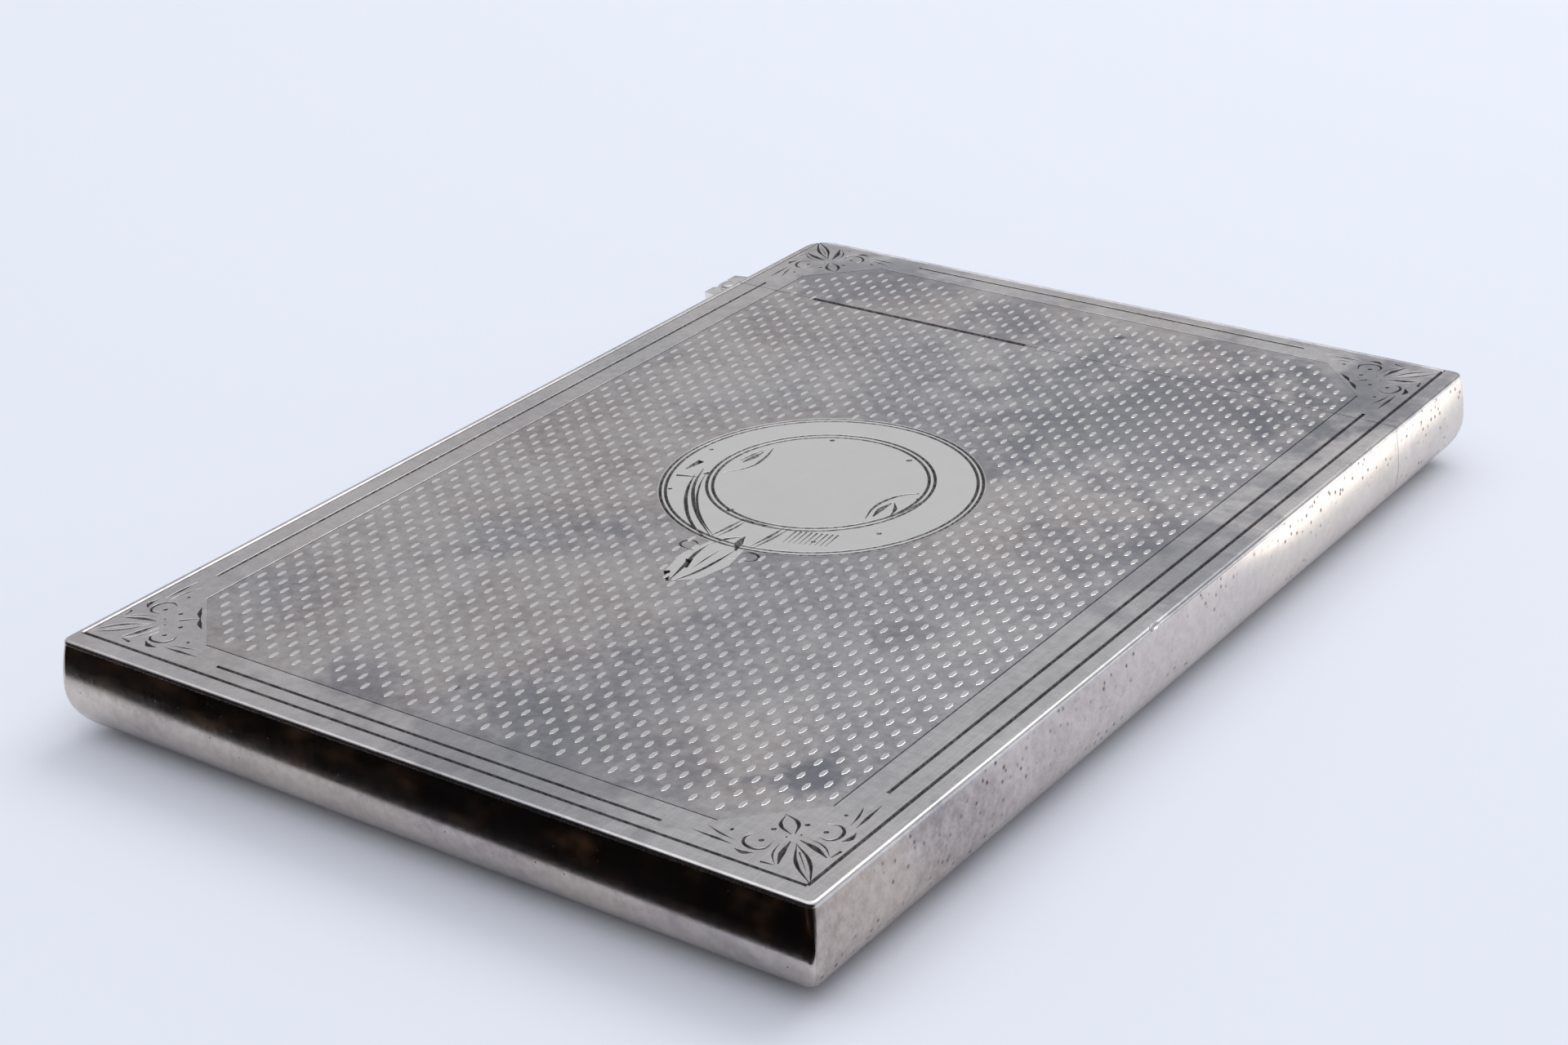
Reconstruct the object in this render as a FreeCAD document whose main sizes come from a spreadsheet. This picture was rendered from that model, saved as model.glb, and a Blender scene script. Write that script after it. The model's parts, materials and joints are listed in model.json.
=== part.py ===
import FreeCAD, Part
import os

import Sketcher

# A silver visiting-card case: a shallow box of soldered sheet with an end lid.
# Origin: centre of the flat back face. +Z leads to the decorated front face,
# +Y to the lid's end, and the lid's hinge stands on the -X long side.

DIMENSIONS = (
    ("face_width", 70.0, "front face across, between its crisp edges"),
    ("face_length", 102.5, "front face from end to end"),
    ("case_thickness", 8.5, "flat back to front face"),
    ("sheet_gauge", 0.4, "silver sheet of plates and edges"),
    ("wall_bow", 0.45, "how far the walls swell out past the front face"),
    ("back_round", 4.2, "quarter round between a wall and the back"),
    ("front_edge_round", 0.3, "worn edge of the front plates"),
    ("lid_depth", 14.05, "front face of lid and gap, along the case"),
    ("parting_gap", 0.06, "slit between body and closed lid"),
    ("collar_seat", 5.0, "collar soldered inside the body"),
    ("collar_rise", 3.5, "collar standing up into the lid"),
    ("collar_gauge", 0.4, "sheet of the collar"),
    ("collar_clearance", 0.15, "collar to the lid's inner faces"),
    ("barrel_radius", 1.1, "outside of the hinge knuckles"),
    ("barrel_offset", 0.6, "hinge axis out from the widest wall line"),
    ("relief_clearance", 0.1, "knuckles to what they pass"),
    ("hinge_foot", 2.0, "back face to the lowest knuckle"),
    ("hinge_inset", 0.6, "front face down to the highest knuckle"),
    ("knuckle_gap", 0.05, "running gap between knuckles"),
    ("pin_radius", 0.45, "hinge pin"),
    ("pin_clearance", 0.03, "radial running clearance of the pin"),
    ("pin_head_radius", 0.8, "peened heads of the pin"),
    ("pin_head_height", 0.25, "peened heads of the pin"),
    ("pin_head_chamfer", 0.12, "peened heads of the pin"),
    ("leaf_reach", 2.9, "hinge cheek from the axis along the wall"),
    ("leaf_taper", 0.35, "sloped end of a hinge cheek"),
    ("leaf_vee_angle", 43.0, "degrees from the wall line to the cheek's inner face"),
    ("tool_margin", 1.0, "how far cutting solids run past the metal"),
)

HALF_WIDTH = "(dims.face_width / 2)"
HALF_LENGTH = "(dims.face_length / 2)"
PARTING = "(dims.face_length / 2 - dims.lid_depth)"
LID_START = f"({PARTING} + dims.parting_gap)"
PLATE_UNDERSIDE = "(dims.case_thickness - dims.sheet_gauge)"
SWELL = "(dims.wall_bow - dims.back_round)"
WALL_RADIUS = (
    "(((dims.case_thickness - dims.back_round) ^ 2 + dims.wall_bow ^ 2)"
    " / (2 * dims.wall_bow))"
)
COLLAR_OUTER = "(dims.sheet_gauge + dims.collar_clearance)"
COLLAR_INNER = f"({COLLAR_OUTER} + dims.collar_gauge)"
COLLAR_FOOT = f"({PARTING} - dims.collar_seat)"
COLLAR_TOP = "(dims.case_thickness - dims.sheet_gauge - dims.collar_clearance - dims.collar_gauge)"
AXIS_X = "(-dims.face_width / 2 - dims.wall_bow - dims.barrel_offset)"
AXIS_Y = f"({PARTING} + dims.parting_gap / 2)"
HINGE_SPAN = "(dims.case_thickness - dims.hinge_inset - dims.hinge_foot)"
KNUCKLE = f"(({HINGE_SPAN} - 2 * dims.knuckle_gap) / 3)"
KNUCKLE_STEP = f"({KNUCKLE} + dims.knuckle_gap)"
RELIEF_RADIUS = "(dims.barrel_radius + dims.relief_clearance)"

LYING = FreeCAD.Rotation()
ACROSS = FreeCAD.Rotation(FreeCAD.Vector(1, 0, 0), 90)
ALONG = FreeCAD.Rotation(0.5, 0.5, 0.5, 0.5)
X_WAY = FreeCAD.Vector(1, 0, 0)
Y_WAY = FreeCAD.Vector(0, 1, 0)
Z_WAY = FreeCAD.Vector(0, 0, 1)


def make_dims(doc):
    sheet = doc.addObject("Spreadsheet::Sheet", "dims")
    for row, (alias, millimetres, note) in enumerate(DIMENSIONS, start=1):
        sheet.set(f"A{row}", note)
        sheet.set(f"B{row}", str(millimetres))
        sheet.setAlias(f"B{row}", alias)
    doc.recompute()
    return sheet


def value(doc, formula):
    return float(doc.dims.evalExpression(formula))


def bind(thing, **formulas):
    for name, formula in formulas.items():
        thing.setExpression(name, formula)


def place(thing, x="0", y="0", z="0"):
    thing.setExpression("Placement.Base.x", x)
    thing.setExpression("Placement.Base.y", y)
    thing.setExpression("Placement.Base.z", z)


def arc_between(start, end, radius):
    """A counter-clockwise arc that bulges to the right of its chord."""
    chord = end - start
    middle = (start + end) * 0.5
    rise = (radius ** 2 - (chord.Length / 2) ** 2) ** 0.5
    inward = FreeCAD.Vector(-chord.y, chord.x, 0).normalize()
    centre = middle + inward * rise
    first = (start - centre).getAngle(X_WAY) * (1 if start.y >= centre.y else -1)
    last = (end - centre).getAngle(X_WAY) * (1 if end.y >= centre.y else -1)
    circle = Part.Circle(centre, Z_WAY, radius)
    return Part.ArcOfCircle(circle, first, last)


def draw_outline(doc, sketch, corners, radii=None):
    """Close a counter-clockwise outline; radii names the sides that are arcs."""
    radii = radii or {}
    points = [FreeCAD.Vector(value(doc, x), value(doc, y), 0) for x, y in corners]
    sides = len(corners)
    for side in range(sides):
        start, end = points[side], points[(side + 1) % sides]
        if side in radii:
            shape = arc_between(start, end, value(doc, radii[side]))
        else:
            shape = Part.LineSegment(start, end)
        sketch.addGeometry(shape, False)
    for side in range(sides):
        following = (side + 1) % sides
        sketch.addConstraint(Sketcher.Constraint("Coincident", side, 2, following, 1))
    for side, (x, y) in enumerate(corners):
        for kind, formula, drawn in (
            ("DistanceX", x, points[side].x),
            ("DistanceY", y, points[side].y),
        ):
            number = sketch.addConstraint(Sketcher.Constraint(kind, -1, 1, side, 1, drawn))
            sketch.setExpression(f"Constraints[{number}]", formula)
    for side, formula in radii.items():
        drawn = value(doc, formula)
        number = sketch.addConstraint(Sketcher.Constraint("Radius", side, drawn))
        sketch.setExpression(f"Constraints[{number}]", formula)


def draw_circle(doc, sketch, formula):
    drawn = value(doc, formula)
    circle = sketch.addGeometry(Part.Circle(FreeCAD.Vector(), Z_WAY, drawn), False)
    sketch.addConstraint(Sketcher.Constraint("Coincident", circle, 3, -1, 1))
    number = sketch.addConstraint(Sketcher.Constraint("Radius", circle, drawn))
    sketch.setExpression(f"Constraints[{number}]", formula)


def extrude(doc, name, turn, way, corners, radii, start, reach):
    """An outline on its own plane, drawn out from start along way by reach."""
    sketch = doc.addObject("Sketcher::SketchObject", f"{name}_outline")
    sketch.Placement.Rotation = turn
    draw_outline(doc, sketch, corners, radii)
    place(sketch, *[start if part else "0" for part in way])
    solid = doc.addObject("Part::Extrusion", name)
    solid.Base = sketch
    solid.DirMode = "Custom"
    solid.Dir = way
    solid.Solid = True
    bind(solid, LengthFwd=reach)
    return solid


def wall_section(half_span, inset):
    """The case's cross-section, moved inwards by inset all round."""
    flat = f"({half_span} + {SWELL})"
    wide = f"({half_span} + dims.wall_bow - {inset})"
    shoulder = f"(dims.case_thickness - {inset})"
    rise = f"({shoulder} - dims.back_round)"
    edge = (
        f"({half_span} + dims.wall_bow - {WALL_RADIUS}"
        f" + sqrt(({WALL_RADIUS} - {inset}) ^ 2 - {rise} ^ 2))"
    )
    corners = [
        (f"-{flat}", inset),
        (flat, inset),
        (wide, "dims.back_round"),
        (edge, shoulder),
        (f"-{edge}", shoulder),
        (f"-{wide}", "dims.back_round"),
    ]
    quarter = f"(dims.back_round - {inset})"
    wall = f"({WALL_RADIUS} - {inset})"
    return corners, {1: quarter, 2: wall, 4: wall, 5: quarter}


def box(doc, name, low, high):
    solid = doc.addObject("Part::Box", name)
    sizes = [f"({top}) - ({bottom})" for bottom, top in zip(low, high)]
    bind(solid, Length=sizes[0], Width=sizes[1], Height=sizes[2])
    place(solid, *low)
    return solid


def cylinder(doc, name, radius, foot, rise):
    """An upright cylinder on the hinge axis."""
    solid = doc.addObject("Part::Cylinder", name)
    bind(solid, Radius=radius, Height=rise)
    place(solid, AXIS_X, AXIS_Y, foot)
    return solid


def combine(doc, kind, name, base, tool):
    solid = doc.addObject(f"Part::{kind}", name)
    solid.Base = base
    solid.Tool = tool
    return solid


def fuse(doc, name, solids):
    solid = doc.addObject("Part::MultiFuse", name)
    solid.Shapes = solids
    return solid


def long_block(doc, name, inset, start, reach):
    corners, radii = wall_section(HALF_WIDTH, inset)
    return extrude(doc, name, ACROSS, Y_WAY, corners, radii, start, reach)


def pillow(doc, name, inset):
    """The whole case as one block, moved inwards by inset: both sections meet in mitres."""
    margin = f"({HALF_LENGTH} + dims.wall_bow + dims.tool_margin)"
    lengthwise = long_block(doc, f"{name}_lengthwise", inset, f"-{margin}", f"2 * {margin}")
    margin = f"({HALF_WIDTH} + dims.wall_bow + dims.tool_margin)"
    corners, radii = wall_section(HALF_LENGTH, inset)
    crosswise = extrude(
        doc, f"{name}_crosswise", ALONG, X_WAY, corners, radii, f"-{margin}", f"2 * {margin}"
    )
    return combine(doc, "Common", name, lengthwise, crosswise)


def front_plate(doc, name, form, low_y, high_y):
    """A flat plate over the whole front, its outer edges worn round."""
    side = f"({HALF_WIDTH} + dims.tool_margin)"
    top = "(dims.case_thickness + dims.tool_margin)"
    slab = box(doc, f"{name}_slab", (f"-{side}", low_y, PLATE_UNDERSIDE), (side, high_y, top))
    blank = combine(doc, "Common", f"{name}_blank", form, slab)
    doc.recompute()
    parting = (value(doc, PARTING), value(doc, LID_START))
    front = value(doc, "dims.case_thickness")
    radius = value(doc, "dims.front_edge_round")
    rounded = []
    for number, edge in enumerate(blank.Shape.Edges, start=1):
        bounds = edge.BoundBox
        on_front = abs(bounds.ZMin - front) < 1e-6
        on_parting = bounds.YLength < 1e-6 and min(abs(bounds.YMin - y) for y in parting) < 1e-6
        if on_front and not on_parting:
            rounded.append((number, radius, radius))
    plate = doc.addObject("Part::Fillet", name)
    plate.Base = blank
    plate.Edges = rounded
    return plate


def back_plate(doc, name, low_y, high_y):
    side = f"({HALF_WIDTH} + {SWELL})"
    return box(doc, name, (f"-{side}", low_y, "0"), (side, high_y, "dims.sheet_gauge"))


def edge_strip(doc, name, shell, corners):
    """A drawn strip: wall and quarter round, cut from the shell in plan with mitred ends."""
    region = extrude(doc, f"{name}_region", LYING, Z_WAY, corners, None, "0", PLATE_UNDERSIDE)
    return combine(doc, "Common", name, shell, region)


def strip_outlines():
    """Plans of the six edge strips, each running past the metal outside."""
    x_in = f"({HALF_WIDTH} + {SWELL})"
    y_in = f"({HALF_LENGTH} + {SWELL})"
    x_out = f"({HALF_WIDTH} + dims.wall_bow + dims.tool_margin)"
    y_out = f"({HALF_LENGTH} + dims.wall_bow + dims.tool_margin)"
    outlines = {}
    for side, sign in (("left", "-"), ("right", "")):
        inner, outer = f"{sign}{x_in}", f"{sign}{x_out}"
        outlines[f"body_{side}_edge"] = [
            (outer, f"-{y_out}"), (inner, f"-{y_in}"), (inner, PARTING), (outer, PARTING),
        ]
        outlines[f"lid_{side}_edge"] = [
            (outer, LID_START), (inner, LID_START), (inner, y_in), (outer, y_out),
        ]
    for part, sign in (("body", "-"), ("lid", "")):
        outlines[f"{part}_end_edge"] = [
            (f"-{x_out}", f"{sign}{y_out}"),
            (x_out, f"{sign}{y_out}"),
            (x_in, f"{sign}{y_in}"),
            (f"-{x_in}", f"{sign}{y_in}"),
        ]
    return outlines


def collar_tube(doc):
    """The stepped collar: against the body's walls below, clear of the lid's above."""
    seat = long_block(doc, "collar_seat_block", "dims.sheet_gauge", COLLAR_FOOT, "dims.collar_seat")
    rise = long_block(doc, "collar_rise_block", COLLAR_OUTER, PARTING, "dims.collar_rise")
    start = f"({COLLAR_FOOT} - dims.tool_margin)"
    reach = "(dims.collar_seat + dims.collar_rise + 2 * dims.tool_margin)"
    bore = long_block(doc, "collar_bore_block", COLLAR_INNER, start, reach)
    return combine(doc, "Cut", "collar_tube", fuse(doc, "collar_blank", [seat, rise]), bore)


def collar_strips(doc, tube, relief):
    """The collar's four soldered strips; two of them pass the hinge knuckles with clearance."""
    flat = f"({HALF_WIDTH} + {SWELL})"
    side = f"({HALF_WIDTH} + dims.wall_bow)"
    foot, top = f"({COLLAR_FOOT} - dims.tool_margin)", HALF_LENGTH
    regions = {
        "front": ((f"-{side}", foot, COLLAR_TOP), (side, top, "dims.case_thickness")),
        "back": ((f"-{flat}", foot, "0"), (flat, top, "dims.back_round")),
        "left": ((f"-{side}", foot, "0"), (f"-{flat}", top, COLLAR_TOP)),
        "right": ((flat, foot, "0"), (side, top, COLLAR_TOP)),
    }
    strips = []
    for side_name, (low, high) in regions.items():
        name = f"collar_{side_name}"
        region = box(doc, f"{name}_region", low, high)
        if side_name in ("left", "front"):
            blank = combine(doc, "Common", f"{name}_blank", tube, region)
            strips.append(combine(doc, "Cut", name, blank, relief))
        else:
            strips.append(combine(doc, "Common", name, tube, region))
    return strips


def origin_plane(body, role):
    return next(f for f in body.Origin.OriginFeatures if f.Role == role)


def body_sketch(body, name, role):
    sketch = body.newObject("Sketcher::SketchObject", name)
    sketch.AttachmentSupport = [(origin_plane(body, role), "")]
    sketch.MapMode = "FlatFace"
    return sketch


def knuckle(doc, name, foot):
    """A tube on the hinge axis, bored for the pin."""
    body = doc.addObject("PartDesign::Body", name)
    sketch = body_sketch(body, f"{name}_ring", "XY_Plane")
    draw_circle(doc, sketch, "dims.barrel_radius")
    draw_circle(doc, sketch, "(dims.pin_radius + dims.pin_clearance)")
    pad = body.newObject("PartDesign::Pad", f"{name}_pad")
    pad.Profile = sketch
    bind(pad, Length=KNUCKLE)
    place(body, AXIS_X, AXIS_Y, foot)
    return body


def hinge_pin(doc):
    """A riveted pin: a plain shank between two peened heads."""
    body = doc.addObject("PartDesign::Body", "hinge_pin")
    sketch = body_sketch(body, "hinge_pin_profile", "XZ_Plane")
    head, chamfer = "dims.pin_head_radius", "dims.pin_head_chamfer"
    crown = f"({head} - {chamfer})"
    top = f"({HINGE_SPAN} + dims.pin_head_height)"
    draw_outline(doc, sketch, [
        ("0", "-dims.pin_head_height"),
        (crown, "-dims.pin_head_height"),
        (head, f"(-dims.pin_head_height + {chamfer})"),
        (head, "0"),
        ("dims.pin_radius", "0"),
        ("dims.pin_radius", HINGE_SPAN),
        (head, HINGE_SPAN),
        (head, f"({top} - {chamfer})"),
        (crown, top),
        ("0", top),
    ])
    turned = body.newObject("PartDesign::Revolution", "hinge_pin_turned")
    turned.Profile = sketch
    turned.ReferenceAxis = (sketch, ["V_Axis"])
    turned.Angle = 360
    place(body, AXIS_X, AXIS_Y, "dims.hinge_foot")
    return body


def hinge_leaf(doc, name, sign, form, relief_bands):
    """A cheek soldered to the wall beside the barrel; its V face lets the lid swing open."""
    inner = f"({AXIS_X} + dims.barrel_offset + dims.wall_bow + dims.tool_margin)"
    proud = f"({AXIS_X} - dims.barrel_radius)"
    wall_line = f"({AXIS_X} + dims.barrel_offset)"
    half_gap = "dims.parting_gap / 2"
    vee = f"({half_gap} + dims.barrel_radius / tan(dims.leaf_vee_angle))"
    outline = [
        (inner, f"{AXIS_Y} {sign} {half_gap}"),
        (AXIS_X, f"{AXIS_Y} {sign} {half_gap}"),
        (proud, f"{AXIS_Y} {sign} {vee}"),
        (proud, f"{AXIS_Y} {sign} (dims.leaf_reach - dims.leaf_taper)"),
        (wall_line, f"{AXIS_Y} {sign} dims.leaf_reach"),
        (inner, f"{AXIS_Y} {sign} dims.leaf_reach"),
    ]
    block = extrude(
        doc, f"{name}_block", LYING, Z_WAY, outline, None, "dims.hinge_foot", HINGE_SPAN
    )
    tools = [form, cylinder(doc, f"{name}_seat", "dims.barrel_radius", "dims.hinge_foot", HINGE_SPAN)]
    for number, (foot, rise) in enumerate(relief_bands):
        tools.append(cylinder(doc, f"{name}_relief_{number}", RELIEF_RADIUS, foot, rise))
    return combine(doc, "Cut", name, block, fuse(doc, f"{name}_tools", tools))


def build(doc):
    make_dims(doc)
    form = pillow(doc, "form", "0")
    shell = combine(doc, "Cut", "shell", form, pillow(doc, "cavity", "dims.sheet_gauge"))
    relief = cylinder(
        doc,
        "hinge_relief",
        RELIEF_RADIUS,
        "(dims.hinge_foot - dims.relief_clearance)",
        f"({HINGE_SPAN} + 2 * dims.relief_clearance)",
    )
    far = f"({HALF_LENGTH} + dims.tool_margin)"
    flat_end = f"({HALF_LENGTH} + {SWELL})"
    parts = [
        front_plate(doc, "body_front_plate", form, f"-{far}", PARTING),
        front_plate(doc, "lid_front_plate", form, LID_START, far),
        back_plate(doc, "body_back_plate", f"-{flat_end}", PARTING),
        back_plate(doc, "lid_back_plate", LID_START, flat_end),
    ]
    for name, corners in strip_outlines().items():
        if "left" in name:
            blank = edge_strip(doc, f"{name}_blank", shell, corners)
            parts.append(combine(doc, "Cut", name, blank, relief))
        else:
            parts.append(edge_strip(doc, name, shell, corners))
    parts += collar_strips(doc, collar_tube(doc), relief)

    foot = "dims.hinge_foot"
    parts.append(knuckle(doc, "hinge_knuckle_back", foot))
    parts.append(knuckle(doc, "hinge_knuckle_lid", f"{foot} + {KNUCKLE_STEP}"))
    parts.append(knuckle(doc, "hinge_knuckle_front", f"{foot} + 2 * {KNUCKLE_STEP}"))
    parts.append(hinge_pin(doc))
    middle = [(f"{foot} + {KNUCKLE}", f"{KNUCKLE_STEP} + dims.knuckle_gap")]
    ends = [(foot, KNUCKLE_STEP), (f"{foot} + {KNUCKLE} + {KNUCKLE_STEP}", KNUCKLE_STEP)]
    parts.append(hinge_leaf(doc, "hinge_leaf_body", "-", form, middle))
    parts.append(hinge_leaf(doc, "hinge_leaf_lid", "+", form, ends))
    doc.recompute()
    return parts


def check(doc, parts):
    for thing in doc.Objects:
        if "Invalid" in thing.State or "Error" in thing.State:
            raise RuntimeError(f"{thing.Name} failed: {thing.State}")
    for part in parts:
        if part.Shape.isNull() or not part.Shape.isValid() or len(part.Shape.Solids) != 1:
            raise RuntimeError(f"{part.Name} is not one valid solid")


def write(parts):
    os.makedirs("parts", exist_ok=True)
    for part in parts:
        part.Label = part.Name
        part.Shape.exportStep(f"parts/{part.Label}.step")


document = FreeCAD.newDocument("card_case")
pieces = build(document)
check(document, pieces)
write(pieces)
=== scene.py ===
"""Engraved silver card case: the visible pieces, their finishes and a small studio."""
import json
import math

import bmesh
import bpy
from bpy.props import FloatProperty, FloatVectorProperty, IntProperty, PointerProperty
from mathutils import Euler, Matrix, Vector

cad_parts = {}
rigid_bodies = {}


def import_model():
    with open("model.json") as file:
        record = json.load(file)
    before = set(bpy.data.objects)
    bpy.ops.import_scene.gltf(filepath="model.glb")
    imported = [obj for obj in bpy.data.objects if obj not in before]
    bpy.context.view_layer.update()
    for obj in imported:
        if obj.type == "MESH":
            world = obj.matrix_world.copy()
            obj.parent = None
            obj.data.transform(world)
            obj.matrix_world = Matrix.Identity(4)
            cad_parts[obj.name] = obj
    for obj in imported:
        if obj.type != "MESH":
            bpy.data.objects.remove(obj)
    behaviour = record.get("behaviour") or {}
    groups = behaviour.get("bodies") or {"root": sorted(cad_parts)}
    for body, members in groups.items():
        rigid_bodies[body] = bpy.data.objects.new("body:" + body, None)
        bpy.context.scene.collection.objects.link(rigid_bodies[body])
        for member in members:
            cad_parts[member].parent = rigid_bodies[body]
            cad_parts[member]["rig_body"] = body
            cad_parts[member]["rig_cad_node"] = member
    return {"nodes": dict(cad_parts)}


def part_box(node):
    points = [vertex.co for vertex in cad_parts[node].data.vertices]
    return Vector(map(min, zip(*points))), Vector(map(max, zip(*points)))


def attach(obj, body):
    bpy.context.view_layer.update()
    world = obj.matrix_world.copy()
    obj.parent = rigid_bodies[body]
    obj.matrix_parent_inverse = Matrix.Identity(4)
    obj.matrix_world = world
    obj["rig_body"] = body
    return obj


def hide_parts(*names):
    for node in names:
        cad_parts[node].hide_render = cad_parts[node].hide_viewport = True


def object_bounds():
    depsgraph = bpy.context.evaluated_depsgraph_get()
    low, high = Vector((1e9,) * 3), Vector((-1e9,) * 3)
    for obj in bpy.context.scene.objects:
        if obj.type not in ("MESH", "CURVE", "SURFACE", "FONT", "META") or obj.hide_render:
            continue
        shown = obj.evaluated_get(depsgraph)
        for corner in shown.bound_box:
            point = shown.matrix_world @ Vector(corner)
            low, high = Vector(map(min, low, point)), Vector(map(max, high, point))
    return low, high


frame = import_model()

bl_info = {
    "name": "Engraved Card Case",
    "version": (1, 0, 0),
    "blender": (4, 5, 0),
    "location": "View3D > Sidebar > Card Case",
    "description": "Models and finishes an engraved silver card case around its CAD frame",
    "category": "Object",
}

MM = 0.001
CAD_BOX = [list(corner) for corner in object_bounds()]
PLATE_LOW, PLATE_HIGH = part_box("body_front_plate")
LID_LOW, LID_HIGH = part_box("lid_front_plate")
EDGE_LOW, EDGE_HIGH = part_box("body_right_edge")
HINGE_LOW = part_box("hinge_knuckle_front")[0]
HINGE_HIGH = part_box("hinge_knuckle_back")[1]

FACE_Z = PLATE_HIGH.z
SHEET = PLATE_HIGH.z - PLATE_LOW.z
FACE_X = PLATE_HIGH.x
FACE_Y = LID_HIGH.y
SEAM_X = EDGE_HIGH.x
SEAM_Y = -EDGE_LOW.y
BACK_ROUND = EDGE_HIGH.x - EDGE_LOW.x
PARTING = PLATE_HIGH.y
LID_START = LID_LOW.y

FINE = 1e-7
NEARLY = 1e-5
CORNERS = ((-1, -1), (-1, 1), (1, -1), (1, 1))
ROUND_SIDES = 160
GRAIN_CORNERS = 12
RIM = 0.6 * MM
PUNCH_DEPTH = 0.1 * MM
HUB_INSET = 0.95 * MM
PANEL_SHIFT = (-0.35 * MM, 0.4 * MM)
STRAP_BOLDNESS = 1.25
TONGUE_REACH = 16.6 * MM
TONGUE_SHIFT = 0.15 * MM
TONGUE_HALF = (2.3 * MM, 4.4 * MM)
TONGUE_CLEAR = (2.2 * MM, 4.6 * MM)
TONGUE_KEPT = 4.5 * MM
GAP_CLEAR = 0.62 * MM

# Depths below the front in millimetres, start and full, and what the finish does there.
FLOOR_DEPTH = (0.006, 0.016)
SHALLOW_DEPTH = (0.004, 0.02)
CUT_DEPTH = (0.023, 0.042)
FLOOR_TARNISH = 1.38
KEPT_CLEAN = 0.1

KEY_POWER = 1.9
KEY_SIZE = (0.7, 0.45)
KEY_PLACE = (0.07, 0.50, 0.68)
DARK_CARD_HEIGHT = 14 * MM
BRIGHT_CARD = ((0.0445, 0.03, 0.0001), (0.14, 0.2, 0.0004))


# ---- modelling helpers


def only_nothing():
    """Leave edit mode with nothing selected."""
    if bpy.context.mode != "OBJECT":
        bpy.ops.object.mode_set(mode="OBJECT")
    bpy.ops.object.select_all(action="DESELECT")


def only(piece):
    """Leave edit mode and select this object alone."""
    only_nothing()
    piece.select_set(True)
    bpy.context.view_layer.objects.active = piece


def edit(piece, pick="SELECT"):
    only(piece)
    bpy.ops.object.mode_set(mode="EDIT")
    bpy.ops.mesh.select_all(action=pick)


def leave(piece):
    bpy.ops.object.mode_set(mode="OBJECT")
    return piece


def rename(piece, name):
    piece.name = name
    piece.data.name = name
    return piece


def newest(name):
    """Name the object that was made last."""
    return rename(bpy.context.active_object, name)


def primitive(add, name, scale=(1, 1, 1), **values):
    """Add a primitive and put its place, turn and size into its mesh."""
    only_nothing()
    add(**values)
    piece = newest(name)
    piece.scale = scale
    only(piece)
    bpy.ops.object.transform_apply(location=True, rotation=True, scale=True)
    return piece


def cube(name, low, high):
    """A cube primitive that fills the box from low to high."""
    low, high = Vector(low), Vector(high)
    middle = (low + high) / 2
    return primitive(bpy.ops.mesh.primitive_cube_add, name, high - low, size=1, location=middle)


def cylinder(name, sides, radius, depth, place, turn=(0, 0, 0)):
    return primitive(
        bpy.ops.mesh.primitive_cylinder_add, name, vertices=sides, radius=radius, depth=depth,
        location=place, rotation=turn
    )


def pick(piece, kind, test):
    """In edit mode, select just the vertices or the edges that pass the test."""
    bpy.ops.mesh.select_mode(type=kind)
    bpy.ops.mesh.select_all(action="DESELECT")
    mesh = bmesh.from_edit_mesh(piece.data)
    for part in mesh.edges if kind == "EDGE" else mesh.verts:
        part.select = test(part)
    mesh.select_flush_mode()
    bmesh.update_edit_mesh(piece.data)


def pick_edges(piece, test):
    pick(piece, "EDGE", lambda edge: test(edge.verts[0].co, edge.verts[1].co))


def pick_verts(piece, test):
    pick(piece, "VERT", lambda vert: test(vert.co))


def copy_of(piece, name):
    twin = piece.copy()
    twin.data = piece.data.copy()
    bpy.context.scene.collection.objects.link(twin)
    return rename(twin, name)


def apply_modifier(piece, kind, **values):
    only(piece)
    modifier = piece.modifiers.new(kind.title(), kind)
    for key, value in values.items():
        setattr(modifier, key, value)
    bpy.ops.object.modifier_apply(modifier=modifier.name)
    return piece


def cut_away(piece, *cutters):
    """Boolean difference with one cutter or several that may cross each other."""
    tray = bpy.data.collections.new("cutters")
    for cutter in cutters:
        tray.objects.link(cutter)
    apply_modifier(
        piece, "BOOLEAN", operation="DIFFERENCE", solver="MANIFOLD", operand_type="COLLECTION",
        collection=tray
    )
    for cutter in cutters:
        bpy.data.objects.remove(cutter)
    bpy.data.collections.remove(tray)
    return piece


def slice_off(piece, point, normal, fill=True):
    """Cut along a plane and drop what lies on the side that normal points to."""
    edit(piece)
    bpy.ops.mesh.bisect(
        plane_co=point, plane_no=normal, use_fill=fill, clear_outer=True, threshold=FINE
    )
    return leave(piece)


def score(piece, axis, reach):
    """Lay evenly spaced construction lines across a piece, square to an axis."""
    step = settings().grid_step
    for number in range(1, int(2 * reach / step)):
        point, normal = Vector(), Vector()
        point[axis] = -reach + number * step
        normal[axis] = 1
        edit(piece)
        bpy.ops.mesh.bisect(plane_co=point, plane_no=normal, threshold=FINE)
        leave(piece)


def smooth(piece, degrees=30):
    only(piece)
    bpy.ops.object.shade_smooth_by_angle(angle=math.radians(degrees))
    return piece


def paint(piece, metal):
    piece.data.materials.clear()
    piece.data.materials.append(bpy.data.materials[metal])


def finish_piece(piece, body, slot, metal, *nodes):
    """Hang a finished piece on its body, with its material and the nodes it stands for; the slot is
    not used.
    """
    paint(piece, metal)
    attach(piece, body)
    if nodes:
        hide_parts(*nodes)


# ---- engraving tools


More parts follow.
